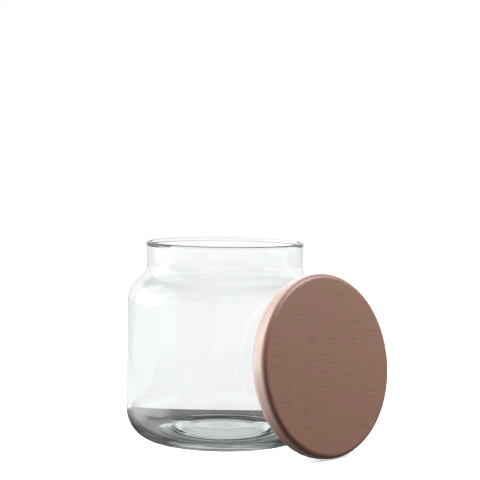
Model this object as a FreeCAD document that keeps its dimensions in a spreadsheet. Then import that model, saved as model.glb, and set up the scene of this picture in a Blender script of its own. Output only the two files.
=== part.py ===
import FreeCAD, Part
import math
import os

import Sketcher

# Glass storage jar with a turned beech lid, in millimetres, +Z up.
# The origin is on the table at the middle of the jar's base. The lid is off: it stands on
# its edge at the front right of the jar and leans back on the shoulder.

# Driving dimensions: name, size, what it sets. Lengths are in mm.
SIZES = [
    ("body_radius", 54.0, "outside radius of the straight wall"),
    ("jar_height", 110.8, "table to the top of the rim"),
    ("neck_radius", 43.6, "outside radius of the straight neck"),
    ("neck_height", 12.8, "straight neck with its rim"),
    ("shoulder_height", 19.7, "rise of the curve from the wall to the neck"),
    ("shoulder_share", 0.64, "share of that curve taken by its outward bulge"),
    ("glass_wall", 2.5, "thickness of wall, shoulder and neck"),
    ("base_round", 17.5, "outside curve from the foot to the wall"),
    ("foot_width", 7.0, "flat ring that the jar stands on"),
    ("foot_thickness", 3.5, "glass over that ring, the lowest place of the floor"),
    ("base_push_up", 4.6, "hollow under the middle of the base"),
    ("push_up_flat", 12.0, "radius of the level top of that hollow"),
    ("base_thickness", 3.3, "glass at the middle of the base"),
    ("crown_flat", 18.0, "radius of the level top of the floor's raised middle"),
    ("rim_round", 1.25, "radius of the fire-polished bead at the rim"),
    ("rim_bulge", 0.35, "how far that bead stands out from the neck"),
    ("lid_radius", 49.0, "outside radius of the lid's disc"),
    ("lid_thickness", 11.5, "thickness of the lid's disc"),
    ("lid_top_round", 3.0, "round on the edge of the lid's top"),
    ("lid_lower_round", 5.5, "round on the edge of the lid's underside"),
    ("plug_height", 6.0, "how far the plug stands down under the disc"),
    ("plug_clearance", 1.6, "gap from the plug to the inside of the neck"),
    ("plug_bevel", 0.8, "bevel on the end of the plug"),
    ("groove_width", 3.0, "gasket groove, along the plug"),
    ("groove_depth", 1.8, "gasket groove, into the plug"),
    ("gasket_squeeze", 0.4, "how much wider the free gasket is than the neck, each side"),
    ("gasket_play", 0.1, "clearance of the gasket in its groove"),
    ("lid_lean_degrees", 8.4, "lean of the lid back from upright"),
    ("lid_turn_degrees", 45.0, "turn of the lid's face to the right of straight ahead"),
    ("lid_shift", 3.5, "how far the lid stands to the side of the line to the jar's axis"),
    ("lid_gap", 0.3, "gap between the plug's end and the shoulder that it leans on"),
]

QUARTER_TURN_RADIANS = math.pi / 2
HALF_TURN_RADIANS = math.pi
FULL_TURN_DEGREES = 360
MIDDLE_SHARE = 0.5
LEAN_STEPS_COUNT = 5

# How a sketch numbers the places on an edge, its two axes and its origin.
START_INDEX = 1
END_INDEX = 2
CENTRE_INDEX = 3
ACROSS_AXIS_INDEX = -1
UP_AXIS_INDEX = -2
ORIGIN_INDEXES = (ACROSS_AXIS_INDEX, START_INDEX)

doc = FreeCAD.newDocument("glass_jar")
sheet = doc.addObject("Spreadsheet::Sheet", "Sizes")
for row, (name, number, meaning) in enumerate(SIZES, start=1):
    sheet.set(f"A{row}", meaning)
    sheet.set(f"B{row}", str(number))
    sheet.setAlias(f"B{row}", name)
doc.recompute()


def size(name):
    return float(sheet.get(name))


def from_sheet(formula):
    """The formula with each size's name pointing at its cell in the sheet."""
    names = {name for name, number, meaning in SIZES}
    words = formula.split(" ")
    return " ".join(f"<<Sizes>>.{word}" if word in names else word for word in words)


def new_body(name):
    body = doc.addObject("PartDesign::Body", name)
    body.Label = name
    return body


def new_sketch(body, name):
    """A sketch on the body's upright plane: across is the radius and up is the height."""
    sketch = body.newObject("Sketcher::SketchObject", name)
    plane = next(item for item in body.Origin.OriginFeatures if item.Role == "XZ_Plane")
    sketch.AttachmentSupport = [(plane, "")]
    sketch.MapMode = "FlatFace"
    return sketch


def line(sketch, start, end):
    segment = Part.LineSegment(FreeCAD.Vector(*start, 0), FreeCAD.Vector(*end, 0))
    return sketch.addGeometry(segment, False)


def arc(sketch, centre, radius, first_angle, last_angle):
    """An arc that runs anticlockwise from the first angle to the last."""
    circle = Part.Circle(FreeCAD.Vector(*centre, 0), FreeCAD.Vector(0, 0, 1), radius)
    return sketch.addGeometry(Part.ArcOfCircle(circle, first_angle, last_angle), False)


def tie(sketch, kind, *places):
    sketch.addConstraint(Sketcher.Constraint(kind, *places))


def measure(sketch, kind, places, now, formula):
    """A dimension of the sketch that follows a formula of the sheet's sizes."""
    number = sketch.addConstraint(Sketcher.Constraint(kind, *places, now))
    sketch.setExpression(f"Constraints[{number}]", from_sheet(formula))


def measure_radius(sketch, edge, formula):
    measure(sketch, "Radius", (edge,), sketch.Geometry[edge].Radius, formula)


def measure_across(sketch, edge, place, formula):
    """Distance of a point of the sketch from the turning axis."""
    now = sketch.getPoint(edge, place).x
    measure(sketch, "DistanceX", (*ORIGIN_INDEXES, edge, place), now, formula)


def measure_up(sketch, edge, place, formula):
    """Height of a point of the sketch above the origin."""
    now = sketch.getPoint(edge, place).y
    measure(sketch, "DistanceY", (*ORIGIN_INDEXES, edge, place), now, formula)


def turn_solid(body, sketch, kind, name):
    """Turns a closed outline once round the upright axis, as added or cut material."""
    doc.recompute()
    feature = body.newObject(kind, name)
    feature.Profile = sketch
    feature.ReferenceAxis = (sketch, ["V_Axis"])
    feature.Angle = FULL_TURN_DEGREES
    doc.recompute()
    return feature


def double_curve(step, run, share):
    """Two arcs that step aside over a run and end as they began, without a corner.

    Gives the first arc's radius, the second's and the angle that both turn through.
    """
    both = (step * step + run * run) / (2 * step)
    first = share * both
    return first, both - first, 2 * math.atan2(step, run)


def level_fall(sketch, high, low):
    """Two equal arcs that fall outwards from one level place to a lower one."""
    drop = high[1] - low[1]
    run = low[0] - high[0]
    brow_radius, heel_radius, turn = double_curve(drop, run, MIDDLE_SHARE)
    brow = arc(sketch, (high[0], high[1] - brow_radius), brow_radius,
               QUARTER_TURN_RADIANS - turn, QUARTER_TURN_RADIANS)
    heel = arc(sketch, (low[0], low[1] + heel_radius), heel_radius,
               -QUARTER_TURN_RADIANS - turn, -QUARTER_TURN_RADIANS)
    tie(sketch, "Tangent", brow, START_INDEX, heel, START_INDEX)
    tie(sketch, "Equal", brow, heel)
    return brow, heel


def glass_jar():
    """One piece of glass: pushed-up base, straight wall, soft shoulder and beaded neck."""
    body = new_body("glass_jar")
    sketch = new_sketch(body, "jar_section")
    wall = size("glass_wall")
    outside = size("body_radius")
    inside = outside - wall
    neck_outside = size("neck_radius")
    neck_inside = neck_outside - wall
    top = size("jar_height")
    neck_start = top - size("neck_height")
    shoulder_start = neck_start - size("shoulder_height")
    bulge, hollow, turn = double_curve(outside - neck_outside, size("shoulder_height"),
                                       size("shoulder_share"))
    base_round = size("base_round")
    floor_round = base_round - wall
    foot_outside = outside - base_round
    foot_inside = foot_outside - size("foot_width")
    push_up = size("base_push_up")
    push_up_flat = size("push_up_flat")
    crown = push_up + size("base_thickness")
    crown_flat = size("crown_flat")
    channel = size("foot_thickness")
    bead = size("rim_round")
    bead_middle = neck_outside + size("rim_bulge") - bead
    bead_turn = math.acos((neck_outside - bead_middle) / bead)
    bead_start = top - bead - bead * math.sin(bead_turn)
    lip = bead_middle - neck_inside

    # Outside, from the middle of the base up to the rim.
    push_up_top = line(sketch, (0, push_up), (push_up_flat, push_up))
    push_up_brow, push_up_heel = level_fall(sketch, (push_up_flat, push_up), (foot_inside, 0))
    foot = line(sketch, (foot_inside, 0), (foot_outside, 0))
    corner = arc(sketch, (foot_outside, base_round), base_round, -QUARTER_TURN_RADIANS, 0)
    outer_wall = line(sketch, (outside, base_round), (outside, shoulder_start))
    outer_bulge = arc(sketch, (outside - bulge, shoulder_start), bulge, 0, turn)
    outer_hollow = arc(sketch, (neck_outside + hollow, neck_start), hollow,
                       HALF_TURN_RADIANS, HALF_TURN_RADIANS + turn)
    outer_neck = line(sketch, (neck_outside, neck_start), (neck_outside, bead_start))
    rim_bead = arc(sketch, (bead_middle, top - bead), bead, -bead_turn, QUARTER_TURN_RADIANS)

    # Inside, from the rim down to the floor and back along the turning axis.
    rim_lip = arc(sketch, (bead_middle, top - lip), lip, QUARTER_TURN_RADIANS, HALF_TURN_RADIANS)
    inner_neck = line(sketch, (neck_inside, top - lip), (neck_inside, neck_start))
    inner_hollow = arc(sketch, (neck_outside + hollow, neck_start), hollow + wall,
                       HALF_TURN_RADIANS, HALF_TURN_RADIANS + turn)
    inner_bulge = arc(sketch, (outside - bulge, shoulder_start), bulge - wall, 0, turn)
    inner_wall = line(sketch, (inside, shoulder_start), (inside, channel + floor_round))
    inner_corner = arc(sketch, (inside - floor_round, channel + floor_round), floor_round,
                       -QUARTER_TURN_RADIANS, 0)
    crown_brow, crown_heel = level_fall(sketch, (crown_flat, crown),
                                        (inside - floor_round, channel))
    crown_top = line(sketch, (crown_flat, crown), (0, crown))
    axis = line(sketch, (0, crown), (0, push_up))

    tie(sketch, "PointOnObject", push_up_top, START_INDEX, UP_AXIS_INDEX)
    tie(sketch, "Horizontal", push_up_top)
    tie(sketch, "Tangent", push_up_top, END_INDEX, push_up_brow, END_INDEX)
    tie(sketch, "Tangent", push_up_heel, END_INDEX, foot, START_INDEX)
    tie(sketch, "PointOnObject", foot, START_INDEX, ACROSS_AXIS_INDEX)
    tie(sketch, "Horizontal", foot)
    tie(sketch, "Tangent", foot, END_INDEX, corner, START_INDEX)
    tie(sketch, "Tangent", corner, END_INDEX, outer_wall, START_INDEX)
    tie(sketch, "Vertical", outer_wall)
    tie(sketch, "Tangent", outer_wall, END_INDEX, outer_bulge, START_INDEX)
    tie(sketch, "Tangent", outer_bulge, END_INDEX, outer_hollow, END_INDEX)
    tie(sketch, "Tangent", outer_hollow, START_INDEX, outer_neck, START_INDEX)
    tie(sketch, "Vertical", outer_neck)
    tie(sketch, "Coincident", outer_neck, END_INDEX, rim_bead, START_INDEX)
    tie(sketch, "Vertical", rim_bead, CENTRE_INDEX, rim_bead, END_INDEX)
    tie(sketch, "Tangent", rim_bead, END_INDEX, rim_lip, START_INDEX)
    tie(sketch, "Tangent", rim_lip, END_INDEX, inner_neck, START_INDEX)
    tie(sketch, "Vertical", inner_neck)
    tie(sketch, "Tangent", inner_neck, END_INDEX, inner_hollow, START_INDEX)
    tie(sketch, "Tangent", inner_hollow, END_INDEX, inner_bulge, END_INDEX)
    tie(sketch, "Coincident", inner_hollow, CENTRE_INDEX, outer_hollow, CENTRE_INDEX)
    tie(sketch, "Horizontal", inner_bulge, CENTRE_INDEX, outer_bulge, CENTRE_INDEX)
    tie(sketch, "Tangent", inner_bulge, START_INDEX, inner_wall, START_INDEX)
    tie(sketch, "Vertical", inner_wall)
    tie(sketch, "Tangent", inner_wall, END_INDEX, inner_corner, END_INDEX)
    tie(sketch, "Vertical", inner_corner, CENTRE_INDEX, inner_corner, START_INDEX)
    tie(sketch, "Tangent", inner_corner, START_INDEX, crown_heel, END_INDEX)
    tie(sketch, "Tangent", crown_brow, END_INDEX, crown_top, START_INDEX)
    tie(sketch, "Horizontal", crown_top)
    tie(sketch, "PointOnObject", crown_top, END_INDEX, UP_AXIS_INDEX)
    tie(sketch, "Coincident", crown_top, END_INDEX, axis, START_INDEX)
    tie(sketch, "Coincident", axis, END_INDEX, push_up_top, START_INDEX)

    measure_up(sketch, axis, END_INDEX, "base_push_up")
    measure_across(sketch, push_up_top, END_INDEX, "push_up_flat")
    measure_up(sketch, axis, START_INDEX, "base_push_up + base_thickness")
    measure_across(sketch, crown_top, START_INDEX, "crown_flat")
    measure_up(sketch, inner_corner, START_INDEX, "foot_thickness")
    measure_across(sketch, foot, START_INDEX, "body_radius - base_round - foot_width")
    measure_radius(sketch, corner, "base_round")
    measure_across(sketch, outer_wall, START_INDEX, "body_radius")
    measure_up(sketch, outer_bulge, CENTRE_INDEX, "jar_height - neck_height - shoulder_height")
    measure_radius(sketch, outer_bulge,
                   "shoulder_share * ( ( body_radius - neck_radius ) ^ 2 + shoulder_height ^ 2 )"
                   " / ( 2 * ( body_radius - neck_radius ) )")
    measure_across(sketch, outer_neck, START_INDEX, "neck_radius")
    measure_up(sketch, outer_hollow, CENTRE_INDEX, "jar_height - neck_height")
    measure_radius(sketch, rim_bead, "rim_round")
    measure_across(sketch, rim_bead, CENTRE_INDEX, "neck_radius + rim_bulge - rim_round")
    measure_up(sketch, rim_bead, END_INDEX, "jar_height")
    measure_across(sketch, inner_neck, START_INDEX, "neck_radius - glass_wall")
    measure_across(sketch, inner_wall, START_INDEX, "body_radius - glass_wall")
    measure_radius(sketch, inner_corner, "base_round - glass_wall")
    turn_solid(body, sketch, "PartDesign::Revolution", "turned_glass")
    return body


def wooden_lid():
    """One turned piece of beech: a disc with rounded edges and the plug under it.

    Its own axis is upright, with its origin in the middle of the disc's underside.
    """
    body = new_body("wooden_lid")
    sketch = new_sketch(body, "lid_section")
    outside = size("lid_radius")
    top = size("lid_thickness")
    top_round = size("lid_top_round")
    lower_round = size("lid_lower_round")
    plug = size("neck_radius") - size("glass_wall") - size("plug_clearance")
    plug_end = -size("plug_height")

    plug_face = line(sketch, (0, plug_end), (plug, plug_end))
    plug_side = line(sketch, (plug, plug_end), (plug, 0))
    seat = line(sketch, (plug, 0), (outside - lower_round, 0))
    lower_edge = arc(sketch, (outside - lower_round, lower_round), lower_round,
                     -QUARTER_TURN_RADIANS, 0)
    rim = line(sketch, (outside, lower_round), (outside, top - top_round))
    top_edge = arc(sketch, (outside - top_round, top - top_round), top_round,
                   0, QUARTER_TURN_RADIANS)
    face = line(sketch, (outside - top_round, top), (0, top))
    axis = line(sketch, (0, top), (0, plug_end))

    tie(sketch, "PointOnObject", plug_face, START_INDEX, UP_AXIS_INDEX)
    tie(sketch, "Horizontal", plug_face)
    tie(sketch, "Coincident", plug_face, END_INDEX, plug_side, START_INDEX)
    tie(sketch, "Vertical", plug_side)
    tie(sketch, "Coincident", plug_side, END_INDEX, seat, START_INDEX)
    tie(sketch, "PointOnObject", seat, START_INDEX, ACROSS_AXIS_INDEX)
    tie(sketch, "Horizontal", seat)
    tie(sketch, "Tangent", seat, END_INDEX, lower_edge, START_INDEX)
    tie(sketch, "Tangent", lower_edge, END_INDEX, rim, START_INDEX)
    tie(sketch, "Vertical", rim)
    tie(sketch, "Tangent", rim, END_INDEX, top_edge, START_INDEX)
    tie(sketch, "Tangent", top_edge, END_INDEX, face, START_INDEX)
    tie(sketch, "Horizontal", face)
    tie(sketch, "PointOnObject", face, END_INDEX, UP_AXIS_INDEX)
    tie(sketch, "Coincident", face, END_INDEX, axis, START_INDEX)
    tie(sketch, "Coincident", axis, END_INDEX, plug_face, START_INDEX)

    measure_up(sketch, plug_face, START_INDEX, "- plug_height")
    measure_across(sketch, plug_side, START_INDEX, "neck_radius - glass_wall - plug_clearance")
    measure_radius(sketch, lower_edge, "lid_lower_round")
    measure_across(sketch, rim, START_INDEX, "lid_radius")
    measure_radius(sketch, top_edge, "lid_top_round")
    measure_up(sketch, face, START_INDEX, "lid_thickness")
    turn_solid(body, sketch, "PartDesign::Revolution", "turned_wood")

    cut_gasket_groove(body)
    bevel_plug(body)
    return body


def cut_gasket_groove(body):
    """A square groove round the plug, half way down it."""
    sketch = new_sketch(body, "groove_section")
    outside = size("neck_radius") - size("glass_wall")
    bottom = outside - size("plug_clearance") - size("groove_depth")
    middle = -MIDDLE_SHARE * size("plug_height")
    low = middle - MIDDLE_SHARE * size("groove_width")
    high = middle + MIDDLE_SHARE * size("groove_width")

    lower_side = line(sketch, (bottom, low), (outside, low))
    open_side = line(sketch, (outside, low), (outside, high))
    upper_side = line(sketch, (outside, high), (bottom, high))
    groove_bottom = line(sketch, (bottom, high), (bottom, low))

    tie(sketch, "Coincident", lower_side, END_INDEX, open_side, START_INDEX)
    tie(sketch, "Coincident", open_side, END_INDEX, upper_side, START_INDEX)
    tie(sketch, "Coincident", upper_side, END_INDEX, groove_bottom, START_INDEX)
    tie(sketch, "Coincident", groove_bottom, END_INDEX, lower_side, START_INDEX)
    tie(sketch, "Horizontal", lower_side)
    tie(sketch, "Horizontal", upper_side)
    tie(sketch, "Vertical", open_side)
    tie(sketch, "Vertical", groove_bottom)

    measure_up(sketch, lower_side, START_INDEX, "- ( plug_height + groove_width ) / 2")
    measure_up(sketch, upper_side, START_INDEX, "- ( plug_height - groove_width ) / 2")
    measure_across(sketch, open_side, START_INDEX, "neck_radius - glass_wall")
    measure_across(sketch, groove_bottom, START_INDEX,
                   "neck_radius - glass_wall - plug_clearance - groove_depth")
    turn_solid(body, sketch, "PartDesign::Groove", "gasket_groove")


def bevel_plug(body):
    """Bevels the edge that enters the neck first, the lowest of the lid."""
    turned = body.Tip
    rings = {
        f"Edge{number}": edge.Curve.Center.z
        for number, edge in enumerate(turned.Shape.Edges, start=1)
        if isinstance(edge.Curve, Part.Circle)
    }
    bevel = body.newObject("PartDesign::Chamfer", "plug_bevel")
    bevel.Base = (turned, [min(rings, key=rings.get)])
    bevel.setExpression("Size", from_sheet("plug_bevel"))
    doc.recompute()


def lid_gasket():
    """Silicone ring in the plug's groove, with a full round where it meets the glass."""
    body = new_body("lid_gasket")
    sketch = new_sketch(body, "gasket_section")
    half = MIDDLE_SHARE * size("groove_width") - size("gasket_play")
    middle = -MIDDLE_SHARE * size("plug_height")
    neck_inside = size("neck_radius") - size("glass_wall")
    nose = neck_inside + size("gasket_squeeze") - half
    bore = (neck_inside - size("plug_clearance") - size("groove_depth")
            + size("gasket_play"))

    lower_side = line(sketch, (bore, middle - half), (nose, middle - half))
    round_nose = arc(sketch, (nose, middle), half, -QUARTER_TURN_RADIANS, QUARTER_TURN_RADIANS)
    upper_side = line(sketch, (nose, middle + half), (bore, middle + half))
    ring_bore = line(sketch, (bore, middle + half), (bore, middle - half))

    tie(sketch, "Tangent", lower_side, END_INDEX, round_nose, START_INDEX)
    tie(sketch, "Tangent", round_nose, END_INDEX, upper_side, START_INDEX)
    tie(sketch, "Coincident", upper_side, END_INDEX, ring_bore, START_INDEX)
    tie(sketch, "Coincident", ring_bore, END_INDEX, lower_side, START_INDEX)
    tie(sketch, "Horizontal", lower_side)
    tie(sketch, "Horizontal", upper_side)
    tie(sketch, "Vertical", ring_bore)

    measure_up(sketch, round_nose, CENTRE_INDEX, "- plug_height / 2")
    measure_radius(sketch, round_nose, "groove_width / 2 - gasket_play")
    measure_across(sketch, round_nose, CENTRE_INDEX,
                   "neck_radius - glass_wall + gasket_squeeze + gasket_play - groove_width / 2")
    measure_across(sketch, ring_bore, START_INDEX,
                   "neck_radius - glass_wall - plug_clearance - groove_depth + gasket_play")
    turn_solid(body, sketch, "PartDesign::Revolution", "moulded_ring")
    return body


def lean_on_jar(jar, lid, gasket):
    """Stands the lid on edge on the table and leans it back on the jar, with its gasket.

    It starts well clear and moves in by what is left of the gap, until only lid_gap stays.
    """
    lean = math.radians(size("lid_lean_degrees"))
    turn = math.radians(size("lid_turn_degrees"))
    away = FreeCAD.Vector(math.sin(turn), -math.cos(turn), 0)
    sideways = FreeCAD.Vector(math.cos(turn), math.sin(turn), 0)
    up = FreeCAD.Vector(0, 0, 1)
    facing = away * math.cos(lean) + up * math.sin(lean)
    lower_round = size("lid_lower_round")
    height = ((size("lid_radius") - lower_round) * math.cos(lean)
              + lower_round - lower_round * math.sin(lean))
    turned = FreeCAD.Rotation(sideways, facing.cross(sideways), facing)
    out = size("body_radius") + size("lid_radius") + size("plug_height")
    for step in range(LEAN_STEPS_COUNT):
        place = away * out + sideways * size("lid_shift") + up * height
        lid.Placement = FreeCAD.Placement(place, turned)
        doc.recompute()
        gap = jar.Shape.distToShape(lid.Shape)[0]
        out = out - (gap - size("lid_gap"))
    gasket.Placement = lid.Placement
    doc.recompute()


def check(pieces):
    """Stops before anything is written if a feature failed or a piece is no sound solid."""
    for item in doc.Objects:
        if "Invalid" in item.State or "Error" in item.State:
            raise RuntimeError(f"{item.Name} did not recompute")
        if item.TypeId == "Sketcher::SketchObject" and not item.FullyConstrained:
            raise RuntimeError(f"{item.Name} has loose dimensions")
    for piece in pieces:
        shape = piece.Shape
        if shape.isNull() or not shape.isValid() or len(shape.Solids) != 1:
            raise RuntimeError(f"{piece.Label} is not one sound solid")


jar = glass_jar()
lid = wooden_lid()
gasket = lid_gasket()
lean_on_jar(jar, lid, gasket)
pieces = [jar, lid, gasket]
check(pieces)
os.makedirs("parts", exist_ok=True)
for piece in pieces:
    piece.Shape.exportStep(f"parts/{piece.Label}.step")
    box = piece.Shape.optimalBoundingBox(False)
    print(piece.Label, round(piece.Shape.Volume), "mm3, lowest", round(box.ZMin, 3))
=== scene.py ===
import math
from collections import namedtuple

import bpy
from mathutils import Matrix, Vector

# A clear glass jar with its turned wooden lid leaning on it, on a plain pale floor.
# Metres, in the CAD frame: the jar's axis is Z and the camera looks along +Y.

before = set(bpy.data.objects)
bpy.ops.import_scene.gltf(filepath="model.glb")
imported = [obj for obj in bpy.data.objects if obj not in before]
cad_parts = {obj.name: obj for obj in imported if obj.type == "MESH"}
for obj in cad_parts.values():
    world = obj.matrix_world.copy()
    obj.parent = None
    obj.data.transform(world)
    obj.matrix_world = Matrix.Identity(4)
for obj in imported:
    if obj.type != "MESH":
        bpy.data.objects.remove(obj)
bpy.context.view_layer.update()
WORLD_UP = Vector((0, 0, 1))

# A soft step of a value: low up to its start, high from its end on.
Fade = namedtuple("Fade", "start end low high")

Lamp = namedtuple("Lamp", "name place aim width height power mirrored")

# The camera, fitted to the outlines of the jar and the lid in the photograph.
CAMERA_PLACE = Vector((0.0083, -0.896, 0.169))
CAMERA_PITCH = math.radians(3.643)
CAMERA_ROLL = math.radians(0.783)
FOCAL_LENGTH = 120.8
SENSOR_WIDTH = 36.0

# The lamps, with their power in watts. Only a mirrored one is seen in the glass.
JAR_MIDDLE = (0, 0, 0.05)
JAR_FOOT = (0, 0, 0)
LAMPS = (
    Lamp("left_softbox", (-0.90, -0.15, 0.80), JAR_MIDDLE, 0.8, 1.0, 20, False),
    Lamp("left_window", (-1.055, 0.21, 0.45), JAR_MIDDLE, 1.1, 1.3, 3.6, True),
    Lamp("low_softbox", (-0.60, 0, 0.07), JAR_MIDDLE, 0.6, 0.12, 1.8, False),
    Lamp("right_softbox", (0.80, -0.05, 0.80), JAR_MIDDLE, 0.5, 0.5, 13.5, False),
    Lamp("top_softbox", (0, 0.15, 1.3), JAR_FOOT, 0.7, 0.7, 4, False),
)

# The sky as the glass shows it, by how far its direction points along Y and up, and
# its least tone for light that goes through the glass.
SKY_ALONG_VIEW = Fade(start=-0.3, end=0.2, low=0.35, high=1.0)
SKY_UPWARD = Fade(start=0.32, end=0.48, low=1.0, high=0.10)
SKY_THROUGH_GLASS = 0.9
# The sky as a light on rough surfaces, by its direction along Y.
SKY_LIGHT = Fade(start=-0.6, end=0.5, low=0.05, high=0.25)

# The floor as the camera sees it: white paper, lifted more away from the jar's axis.
FLOOR_REACH = 1.6
PAPER_COLOUR = (0.8, 0.8, 0.8, 1)
PAPER_LIFT = Fade(start=0.15, end=0.6, low=0.5, high=1.0)

# The table as the glass shows it, with its light and shade painted in. Its tone is the
# painted shade at a distance from the axis, given as radius and tone, times the side's tone
# at an X.
# The shade is a bright pool of painted light under the jar and a painted shadow round its
# foot;
# the side's tone is painted light to the left and painted shade to the right.
SHADE_REACH = 0.100
SHADE_STOPS = ((0.028, 3.6), (0.036, 0.25), (0.054, 0.25), (0.072, 1.0))
SIDE_TONE = Fade(start=-0.042, end=-0.030, low=0.45, high=0.20)
FAR_LEFT_TONE = Fade(start=-0.20, end=-0.08, low=0.7, high=0.0)
# A painted ring of light under the front of the foot: its tone by Y, its inner and outer
# edge.
FRONT_TONE = Fade(start=-0.028, end=-0.036, low=0.0, high=0.65)
FRONT_INNER_EDGE = Fade(start=0.0375, end=0.039, low=0.0, high=1.0)
FRONT_OUTER_EDGE = Fade(start=0.042, end=0.046, low=1.0, high=0.0)
# Painted light that the table throws back on rough surfaces: bright on its left, none on its
# right, by X.
BOUNCE_TONE = Fade(start=0.03, end=-0.02, low=0.0, high=0.9)
# Behind its straight far edge it is white, a little less so far to either side.
TABLE_EDGE = 0.080
BEYOND_TONE = Fade(start=0.16, end=0.26, low=1.0, high=0.84)
# Its lighter far part, which only light going through the glass meets.
FAR_TONE = Fade(start=0.15, end=0.35, low=0.0, high=0.9)

# The ripples round the jar's foot: each one's length, width and height, and how they
# fade with the height on the jar.
RIPPLE_LENGTH = 0.050
RIPPLE_WIDTH = 0.0025
RIPPLE_HEIGHT = 0.0007
RIPPLES_FADING = Fade(start=0.002, end=0.007, low=1, high=0)

# The glass, its cast over a long way through it, and the colour of its shadow.
GLASS_COLOUR = (0.997, 0.999, 0.998, 1)
GLASS_INDEX = 1.51
CAST_COLOUR = (0.70, 0.92, 0.90, 1)
CAST_DENSITY = 20
SHADOW_COLOUR = (0.90, 0.92, 0.91, 1)

# The wood's patterns, each with the length of its cells along the grain and across it.
GRAIN_TILT = math.radians(-12)
BAND_CELLS = (0.060, 0.012)
FIBRE_CELLS = (0.006, 0.0006)
SWAY_CELLS = (0.005, 0.004)
FLECK_CELLS = (0.0150, 0.0012)
GROUP_CELLS = (0.025, 0.010)
FLECK_SWAY = (0, 0.0016, 0.0016)
FLECK_CORE = Fade(start=0.12, end=0.36, low=1.0, high=0.0)
DARK_FLECK_RARITY = Fade(start=0.38, end=0.62, low=0.80, high=0.20)
FLECK_GLINT_SHARE = 0.15

# The wood's colours and how much of each is mixed in; the light fleck colour is a painted
# glint.
ROSY = (0.276, 0.124, 0.086)
TAN = (0.262, 0.130, 0.080)
FIBRE_COLOUR = (0.20, 0.10, 0.075)
DARK_FLECK_COLOUR = (0.10, 0.050, 0.036)
FLECK_GLINT_COLOUR = (0.62, 0.42, 0.34)
TAN_BANDS = Fade(start=0.35, end=0.65, low=0, high=1)
FIBRE_MIX = Fade(start=0.3, end=0.7, low=0.0, high=0.24)
DARK_FLECK_MIX = 0.50
FLECK_GLINT_MIX = 0.16

# Painted shade on the lid's rounded edge: a dark colour mixed in between its face and side,
# left off where the surface turns upward. Flatness is 1 on its face and 0 on its side, and
# upward is the Z of the surface's direction. Both limits were chosen to match the
# photograph.
EDGE_SHADE_COLOUR = (0.16, 0.045, 0.040)
EDGE_FROM_SIDE = Fade(start=0.30, end=0.75, low=0.0, high=0.55)
EDGE_TO_FACE = Fade(start=0.85, end=0.99, low=1.0, high=0.0)
EDGE_UPWARD = Fade(start=0.0, end=0.5, low=1.0, high=0.0)

# The lid's gloss, a painted sheen on its side that fades out where the surface faces down,
# and the relief of fibre and flecks.
WOOD_ROUGHNESS = Fade(start=0.3, end=0.7, low=0.42, high=0.55)
COAT_BY_FLATNESS = Fade(start=0.20, end=0.60, low=0.9, high=0.25)
COAT_ROUGHNESS = 0.36
SHEEN_BY_FLATNESS = Fade(start=0.30, end=0.80, low=0.75, high=0.0)
SHEEN_UPWARD = Fade(start=-0.80, end=-0.10, low=0.0, high=1.0)
SHEEN_ROUGHNESS = 0.7
SHEEN_TINT = (1, 0.94, 0.92, 1)
FLECK_DEPTH = 0.8
RELIEF_HEIGHT = 0.00008
RELIEF_STRENGTH = 0.25

# The gasket's translucent white silicone.
SILICONE_COLOUR = (0.80, 0.80, 0.77, 1)
SILICONE_ROUGHNESS = 0.45
SILICONE_GLOW = 0.3
SILICONE_GLOW_DEPTH = (0.002, 0.002, 0.002)


def material_of(name):
    """A new node material with nothing in it but its output."""
    material = bpy.data.materials.new(name)
    material.use_nodes = True
    tree = material.node_tree
    tree.nodes.clear()
    return material, tree, tree.nodes.new("ShaderNodeOutputMaterial")


def node(tree, kind, **settings):
    made = tree.nodes.new(kind)
    for name, value in settings.items():
        setattr(made, name, value)
    return made


def feed(tree, socket, value):
    """Sets a socket to a number, or to a colour of three, or links another one to it."""
    if isinstance(value, tuple):
        socket.default_value = (*value, 1)
    elif isinstance(value, (int, float)):
        socket.default_value = value
    else:
        tree.links.new(value, socket)


def math_node(tree, operation, first, second):
    """One sum of two sockets or plain numbers; gives its result socket."""
    made = node(tree, "ShaderNodeMath", operation=operation)
    feed(tree, made.inputs[0], first)
    feed(tree, made.inputs[1], second)
    return made.outputs[0]


def product(tree, first, *others):
    for other in others:
        first = math_node(tree, "MULTIPLY", first, other)
    return first


def brightest(tree, first, *others):
    for other in others:
        first = math_node(tree, "MAXIMUM", first, other)
    return first


def absolute(tree, value):
    made = node(tree, "ShaderNodeMath", operation="ABSOLUTE")
    tree.links.new(value, made.inputs[0])
    return made.outputs[0]


def faded(tree, value, fade):
    """Maps a socket's value by a Fade, and holds it outside the fade."""
    made = node(tree, "ShaderNodeMapRange", clamp=True, interpolation_type="SMOOTHSTEP")
    tree.links.new(value, made.inputs["Value"])
    made.inputs["From Min"].default_value = fade.start
    made.inputs["From Max"].default_value = fade.end
    made.inputs["To Min"].default_value = fade.low
    made.inputs["To Max"].default_value = fade.high
    return made.outputs["Result"]


def axes_of(tree, vector):
    """The X, Y and Z sockets of a vector socket."""
    made = node(tree, "ShaderNodeSeparateXYZ")
    tree.links.new(vector, made.inputs[0])
    return made.outputs


def length_of(tree, vector):
    made = node(tree, "ShaderNodeVectorMath", operation="LENGTH")
    tree.links.new(vector, made.inputs[0])
    return made.outputs["Value"]


def blended(tree, share, first, second):
    """Mixes two colours, each a socket or three numbers, by a socket or a number."""
    made = node(tree, "ShaderNodeMix", data_type="RGBA")
    feed(tree, made.inputs[0], share)
    feed(tree, made.inputs[6], first)
    feed(tree, made.inputs[7], second)
    return made.outputs[2]


def noise(tree, place, detail):
    """A noise texture whose cells are as large as one unit of its coordinates."""
    made = node(tree, "ShaderNodeTexNoise", noise_dimensions="3D")
    made.inputs["Scale"].default_value = 1
    made.inputs["Detail"].default_value = detail
    tree.links.new(place, made.inputs["Vector"])
    return made.outputs


def dress(name, material):
    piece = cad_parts[name]
    piece.data.materials.clear()
    piece.data.materials.append(material)


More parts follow.
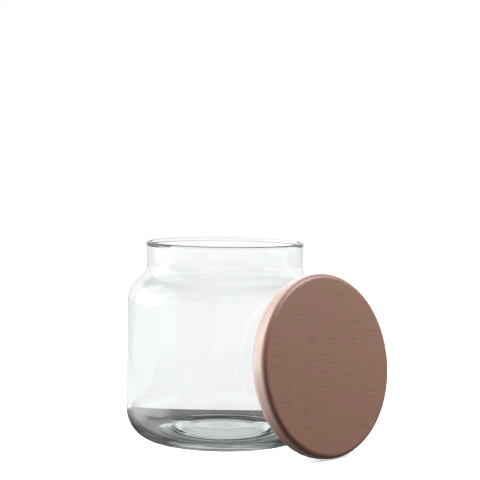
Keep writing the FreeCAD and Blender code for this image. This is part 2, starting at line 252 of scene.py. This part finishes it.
def place_camera():
    forward = Vector((0, math.cos(CAMERA_PITCH), -math.sin(CAMERA_PITCH)))
    right = Vector((1, 0, 0))
    up = right.cross(forward)
    camera_x = math.cos(CAMERA_ROLL) * right + math.sin(CAMERA_ROLL) * up
    camera_y = math.cos(CAMERA_ROLL) * up - math.sin(CAMERA_ROLL) * right
    turned = Matrix((camera_x, camera_y, -forward)).transposed().to_4x4()
    data = bpy.data.cameras.new("photo_camera")
    data.sensor_width = SENSOR_WIDTH
    data.lens = FOCAL_LENGTH
    camera = bpy.data.objects.new("photo_camera", data)
    camera.matrix_world = Matrix.Translation(CAMERA_PLACE) @ turned
    bpy.context.scene.collection.objects.link(camera)
    bpy.context.scene.camera = camera


def hang(lamp):
    """Hangs a rectangular lamp that points at its aim."""
    data = bpy.data.lights.new(lamp.name, "AREA")
    data.cycles.use_multiple_importance_sampling = lamp.mirrored
    data.shape = "RECTANGLE"
    data.size = lamp.width
    data.size_y = lamp.height
    data.energy = lamp.power
    light = bpy.data.objects.new(lamp.name, data)
    direction = Vector(lamp.aim) - Vector(lamp.place)
    light.rotation_euler = direction.to_track_quat("-Z", "Y").to_euler()
    light.location = lamp.place
    bpy.context.scene.collection.objects.link(light)


def studio_world():
    """White to the camera, dim high up and near the camera in what the glass shows."""
    world = bpy.data.worlds.new("studio")
    bpy.context.scene.world = world
    world.use_nodes = True
    tree = world.node_tree
    tree.nodes.clear()
    output = node(tree, "ShaderNodeOutputWorld")
    place = node(tree, "ShaderNodeTexCoord")
    axes = axes_of(tree, place.outputs["Generated"])
    path = node(tree, "ShaderNodeLightPath")
    through = product(tree, path.outputs["Is Transmission Ray"], SKY_THROUGH_GLASS)
    clear = brightest(tree, faded(tree, axes["Y"], SKY_ALONG_VIEW), through)
    clear = product(tree, clear, faded(tree, axes["Z"], SKY_UPWARD))
    strength = node(tree, "ShaderNodeMix", data_type="FLOAT")
    feed(tree, strength.inputs["Factor"], path.outputs["Is Diffuse Ray"])
    feed(tree, strength.inputs[2], clear)
    feed(tree, strength.inputs[3], faded(tree, axes["Y"], SKY_LIGHT))
    white = node(tree, "ShaderNodeBackground")
    white.inputs["Color"].default_value = (1, 1, 1, 1)
    shown = brightest(tree, strength.outputs[0], path.outputs["Is Camera Ray"])
    tree.links.new(shown, white.inputs["Strength"])
    tree.links.new(white.outputs[0], output.inputs["Surface"])


def floor_sheet():
    mesh = bpy.data.meshes.new("floor")
    corners = [(-FLOOR_REACH, -FLOOR_REACH, 0), (FLOOR_REACH, -FLOOR_REACH, 0),
               (FLOOR_REACH, FLOOR_REACH, 0), (-FLOOR_REACH, FLOOR_REACH, 0)]
    mesh.from_pydata(corners, [], [(0, 1, 2, 3)])
    floor = bpy.data.objects.new("floor", mesh)
    bpy.context.scene.collection.objects.link(floor)
    return floor


def lifted_paper(tree, away, path):
    """White paper that keeps the shadow and fades into the white beyond it."""
    paper = node(tree, "ShaderNodeBsdfDiffuse")
    paper.inputs["Color"].default_value = PAPER_COLOUR
    glow = node(tree, "ShaderNodeEmission")
    lift = product(tree, faded(tree, away, PAPER_LIFT), path.outputs["Is Camera Ray"])
    tree.links.new(lift, glow.inputs["Strength"])
    both = node(tree, "ShaderNodeAddShader")
    tree.links.new(paper.outputs[0], both.inputs[0])
    tree.links.new(glow.outputs[0], both.inputs[1])
    return both.outputs[0]


def painted_foot_shade(tree, away):
    """The table's painted shadow and painted light round the jar's foot, by the distance
    from its axis.
    """
    shade = node(tree, "ShaderNodeValToRGB")
    ramp = shade.color_ramp
    while len(ramp.elements) < len(SHADE_STOPS):
        ramp.elements.new(1)
    for element, (radius, tone) in zip(ramp.elements, SHADE_STOPS):
        element.position = radius / SHADE_REACH
        element.color = (tone, tone, tone, 1)
    tree.links.new(math_node(tree, "DIVIDE", away, SHADE_REACH), shade.inputs["Fac"])
    return shade.outputs["Color"]


def table_tone(tree, axes, away, path):
    """The tone of the table, with its light and shade painted in, that the glass shows and
    that lights rough surfaces.
    """
    # Painted light on the table's left and painted shade on its right, times the painted
    # shade round the foot.
    side = brightest(tree, faded(tree, axes["X"], SIDE_TONE),
                     faded(tree, axes["X"], FAR_LEFT_TONE))
    near = product(tree, painted_foot_shade(tree, away), side)
    # The painted ring of light under the front of the foot.
    front = product(tree, faded(tree, axes["Y"], FRONT_TONE),
                    faded(tree, away, FRONT_INNER_EDGE), faded(tree, away, FRONT_OUTER_EDGE))
    # Painted light thrown back from the table's left onto rough surfaces.
    bounce = product(tree, path.outputs["Is Diffuse Ray"],
                     faded(tree, axes["X"], BOUNCE_TONE))
    beyond = product(tree, math_node(tree, "GREATER_THAN", axes["Y"], TABLE_EDGE),
                     faded(tree, absolute(tree, axes["X"]), BEYOND_TONE))
    far = product(tree, faded(tree, away, FAR_TONE), path.outputs["Is Transmission Ray"])
    return brightest(tree, near, front, bounce, beyond, far)


def pale_floor():
    """White paper for the camera, and for every other ray the table with its painted light
    and shade.
    """
    floor = floor_sheet()
    material, tree, output = material_of("pale_floor")
    place = node(tree, "ShaderNodeNewGeometry").outputs["Position"]
    axes = axes_of(tree, place)
    away = length_of(tree, place)
    path = node(tree, "ShaderNodeLightPath")
    table = node(tree, "ShaderNodeEmission")
    tree.links.new(table_tone(tree, axes, away, path), table.inputs["Strength"])
    pick = node(tree, "ShaderNodeMixShader")
    tree.links.new(path.outputs["Is Camera Ray"], pick.inputs["Fac"])
    tree.links.new(table.outputs[0], pick.inputs[1])
    tree.links.new(lifted_paper(tree, away, path), pick.inputs[2])
    tree.links.new(pick.outputs[0], output.inputs["Surface"])
    floor.data.materials.append(material)


def base_ripples(tree):
    """A bump of long fine ripples round the jar's foot; gives a normal."""
    place = node(tree, "ShaderNodeNewGeometry").outputs["Position"]
    axes = axes_of(tree, place)
    level = node(tree, "ShaderNodeVectorMath", operation="MULTIPLY")
    tree.links.new(place, level.inputs[0])
    level.inputs[1].default_value = (1, 1, 0)
    outward = math_node(tree, "ADD", length_of(tree, level.outputs[0]), axes["Z"])
    cells = node(tree, "ShaderNodeCombineXYZ")
    for name, distance, size in (("X", axes["X"], RIPPLE_LENGTH),
                                 ("Y", axes["Y"], RIPPLE_LENGTH),
                                 ("Z", outward, RIPPLE_WIDTH)):
        tree.links.new(math_node(tree, "DIVIDE", distance, size), cells.inputs[name])
    ripple = noise(tree, cells.outputs[0], detail=1)[0]
    height = product(tree, ripple, faded(tree, axes["Z"], RIPPLES_FADING))
    bump = node(tree, "ShaderNodeBump")
    bump.inputs["Strength"].default_value = 1
    bump.inputs["Distance"].default_value = RIPPLE_HEIGHT
    tree.links.new(height, bump.inputs["Height"])
    return bump.outputs[0]


def clear_glass():
    """Clear soda glass, with a faint green cast where the light goes far through it."""
    material, tree, output = material_of("jar_glass")
    glass = node(tree, "ShaderNodeBsdfPrincipled")
    glass.inputs["Base Color"].default_value = GLASS_COLOUR
    glass.inputs["Roughness"].default_value = 0.0
    glass.inputs["IOR"].default_value = GLASS_INDEX
    glass.inputs["Transmission Weight"].default_value = 1.0
    tree.links.new(base_ripples(tree), glass.inputs["Normal"])
    cast = node(tree, "ShaderNodeVolumeAbsorption")
    cast.inputs["Color"].default_value = CAST_COLOUR
    cast.inputs["Density"].default_value = CAST_DENSITY
    tree.links.new(cast.outputs[0], output.inputs["Volume"])
    passing = node(tree, "ShaderNodeBsdfTransparent")
    passing.inputs["Color"].default_value = SHADOW_COLOUR
    path = node(tree, "ShaderNodeLightPath")
    pick = node(tree, "ShaderNodeMixShader")
    tree.links.new(path.outputs["Is Shadow Ray"], pick.inputs["Fac"])
    tree.links.new(glass.outputs[0], pick.inputs[1])
    tree.links.new(passing.outputs[0], pick.inputs[2])
    tree.links.new(pick.outputs[0], output.inputs["Surface"])
    return material


def lid_turn():
    """The rotation into the lid's own frame: X along the grain, Z out of its face.

    The lid's face is the widest flat of its CAD mesh.
    """
    widths = {}
    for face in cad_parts["wooden_lid"].data.polygons:
        facing = tuple(round(part, 3) for part in face.normal)
        widths[facing] = widths.get(facing, 0) + face.area
    out = Vector(max(widths, key=widths.get)).normalized()
    level = WORLD_UP.cross(out).normalized()
    across = out.cross(level)
    grain = math.cos(GRAIN_TILT) * level + math.sin(GRAIN_TILT) * across
    return Matrix((grain, out.cross(grain), out))


def stretched(tree, place, cells):
    """The lid's own coordinates, counted in cells of a length along and across."""
    along, across = cells
    made = node(tree, "ShaderNodeMapping", vector_type="POINT")
    made.inputs["Scale"].default_value = (1 / along, 1 / across, 1 / across)
    tree.links.new(place, made.inputs["Vector"])
    return made.outputs[0]


def wood_flecks(tree, own):
    """Where the dark flecks and the light flecks, which are painted glints, are; the dark
    ones come in groups.
    """
    sway = noise(tree, stretched(tree, own, SWAY_CELLS), detail=1)["Color"]
    bent = node(tree, "ShaderNodeVectorMath", operation="MULTIPLY_ADD")
    tree.links.new(sway, bent.inputs[0])
    bent.inputs[1].default_value = FLECK_SWAY
    tree.links.new(own, bent.inputs[2])
    flecks = node(tree, "ShaderNodeTexVoronoi", feature="F1")
    flecks.inputs["Scale"].default_value = 1
    tree.links.new(stretched(tree, bent.outputs[0], FLECK_CELLS), flecks.inputs["Vector"])
    core = faded(tree, flecks.outputs["Distance"], FLECK_CORE)
    chances = node(tree, "ShaderNodeSeparateColor")
    tree.links.new(flecks.outputs["Color"], chances.inputs[0])
    chance = chances.outputs[0]
    groups = noise(tree, stretched(tree, own, GROUP_CELLS), detail=1)[0]
    rarity = faded(tree, groups, DARK_FLECK_RARITY)
    dark = product(tree, core, math_node(tree, "GREATER_THAN", chance, rarity))
    # The light flecks: painted glints.
    light = product(tree, core, math_node(tree, "LESS_THAN", chance, FLECK_GLINT_SHARE))
    return dark, light


def wood_colour(tree, own, fibre, dark, light):
    """Broad growth bands of two browns, with fine fibre, the dark flecks and the painted
    glints over them.
    """
    bands = noise(tree, stretched(tree, own, BAND_CELLS), detail=2)[0]
    colour = blended(tree, faded(tree, bands, TAN_BANDS), ROSY, TAN)
    colour = blended(tree, faded(tree, fibre, FIBRE_MIX), colour, FIBRE_COLOUR)
    colour = blended(tree, product(tree, dark, DARK_FLECK_MIX), colour, DARK_FLECK_COLOUR)
    return blended(tree, product(tree, light, FLECK_GLINT_MIX), colour, FLECK_GLINT_COLOUR)


def along_face(tree, normal, out):
    """How far the surface lies along the lid's face, 1 on it and 0 on its side."""
    facing = node(tree, "ShaderNodeVectorMath", operation="DOT_PRODUCT")
    tree.links.new(normal, facing.inputs[0])
    facing.inputs[1].default_value = out
    return absolute(tree, facing.outputs["Value"])


def relief(tree, fibre, dark):
    """A bump of the raised fibre and the sunken dark flecks; gives a normal."""
    height = math_node(tree, "SUBTRACT", fibre, product(tree, dark, FLECK_DEPTH))
    bump = node(tree, "ShaderNodeBump")
    bump.inputs["Strength"].default_value = RELIEF_STRENGTH
    bump.inputs["Distance"].default_value = RELIEF_HEIGHT
    tree.links.new(height, bump.inputs["Height"])
    return bump.outputs[0]


def beech():
    """Rosy brown wood with painted shade on its rounded edge and a painted sheen on its
    side; beech is a guess.
    """
    material, tree, output = material_of("lid_beech")
    turn = lid_turn()
    place = node(tree, "ShaderNodeTexCoord")
    own = node(tree, "ShaderNodeMapping", vector_type="POINT")
    own.inputs["Rotation"].default_value = turn.to_euler("XYZ")
    tree.links.new(place.outputs["Object"], own.inputs["Vector"])
    own = own.outputs[0]
    fibre = noise(tree, stretched(tree, own, FIBRE_CELLS), detail=3)[0]
    dark, light = wood_flecks(tree, own)
    flatness = along_face(tree, place.outputs["Normal"], turn[2])
    upward = axes_of(tree, place.outputs["Normal"])["Z"]
    # Painted shade: where the dark edge colour goes, on the sides and lower down, not on
    # top.
    edge = product(tree, faded(tree, flatness, EDGE_FROM_SIDE),
                   faded(tree, flatness, EDGE_TO_FACE), faded(tree, upward, EDGE_UPWARD))
    colour = wood_colour(tree, own, fibre, dark, light)
    # Painted sheen: a pale highlight on the lid's side, left off where the surface faces
    # down.
    painted_sheen = product(tree, faded(tree, flatness, SHEEN_BY_FLATNESS),
                    faded(tree, upward, SHEEN_UPWARD))

    wood = node(tree, "ShaderNodeBsdfPrincipled")
    # The base colour, with the painted edge shade mixed in.
    tree.links.new(blended(tree, edge, colour, EDGE_SHADE_COLOUR), wood.inputs["Base Color"])
    tree.links.new(faded(tree, fibre, WOOD_ROUGHNESS), wood.inputs["Roughness"])
    tree.links.new(faded(tree, flatness, COAT_BY_FLATNESS), wood.inputs["Coat Weight"])
    wood.inputs["Coat Roughness"].default_value = COAT_ROUGHNESS
    tree.links.new(painted_sheen, wood.inputs["Sheen Weight"])
    wood.inputs["Sheen Roughness"].default_value = SHEEN_ROUGHNESS
    wood.inputs["Sheen Tint"].default_value = SHEEN_TINT
    tree.links.new(relief(tree, fibre, dark), wood.inputs["Normal"])
    tree.links.new(wood.outputs[0], output.inputs["Surface"])
    return material


def silicone():
    material, tree, output = material_of("gasket_silicone")
    rubber = node(tree, "ShaderNodeBsdfPrincipled")
    rubber.inputs["Base Color"].default_value = SILICONE_COLOUR
    rubber.inputs["Roughness"].default_value = SILICONE_ROUGHNESS
    rubber.inputs["Subsurface Weight"].default_value = SILICONE_GLOW
    rubber.inputs["Subsurface Radius"].default_value = SILICONE_GLOW_DEPTH
    tree.links.new(rubber.outputs[0], output.inputs["Surface"])
    return material


place_camera()
dress("glass_jar", clear_glass())
dress("wooden_lid", beech())
dress("lid_gasket", silicone())
studio_world()
pale_floor()
for lamp in LAMPS:
    hang(lamp)
bpy.context.scene.view_settings.view_transform = "Standard"
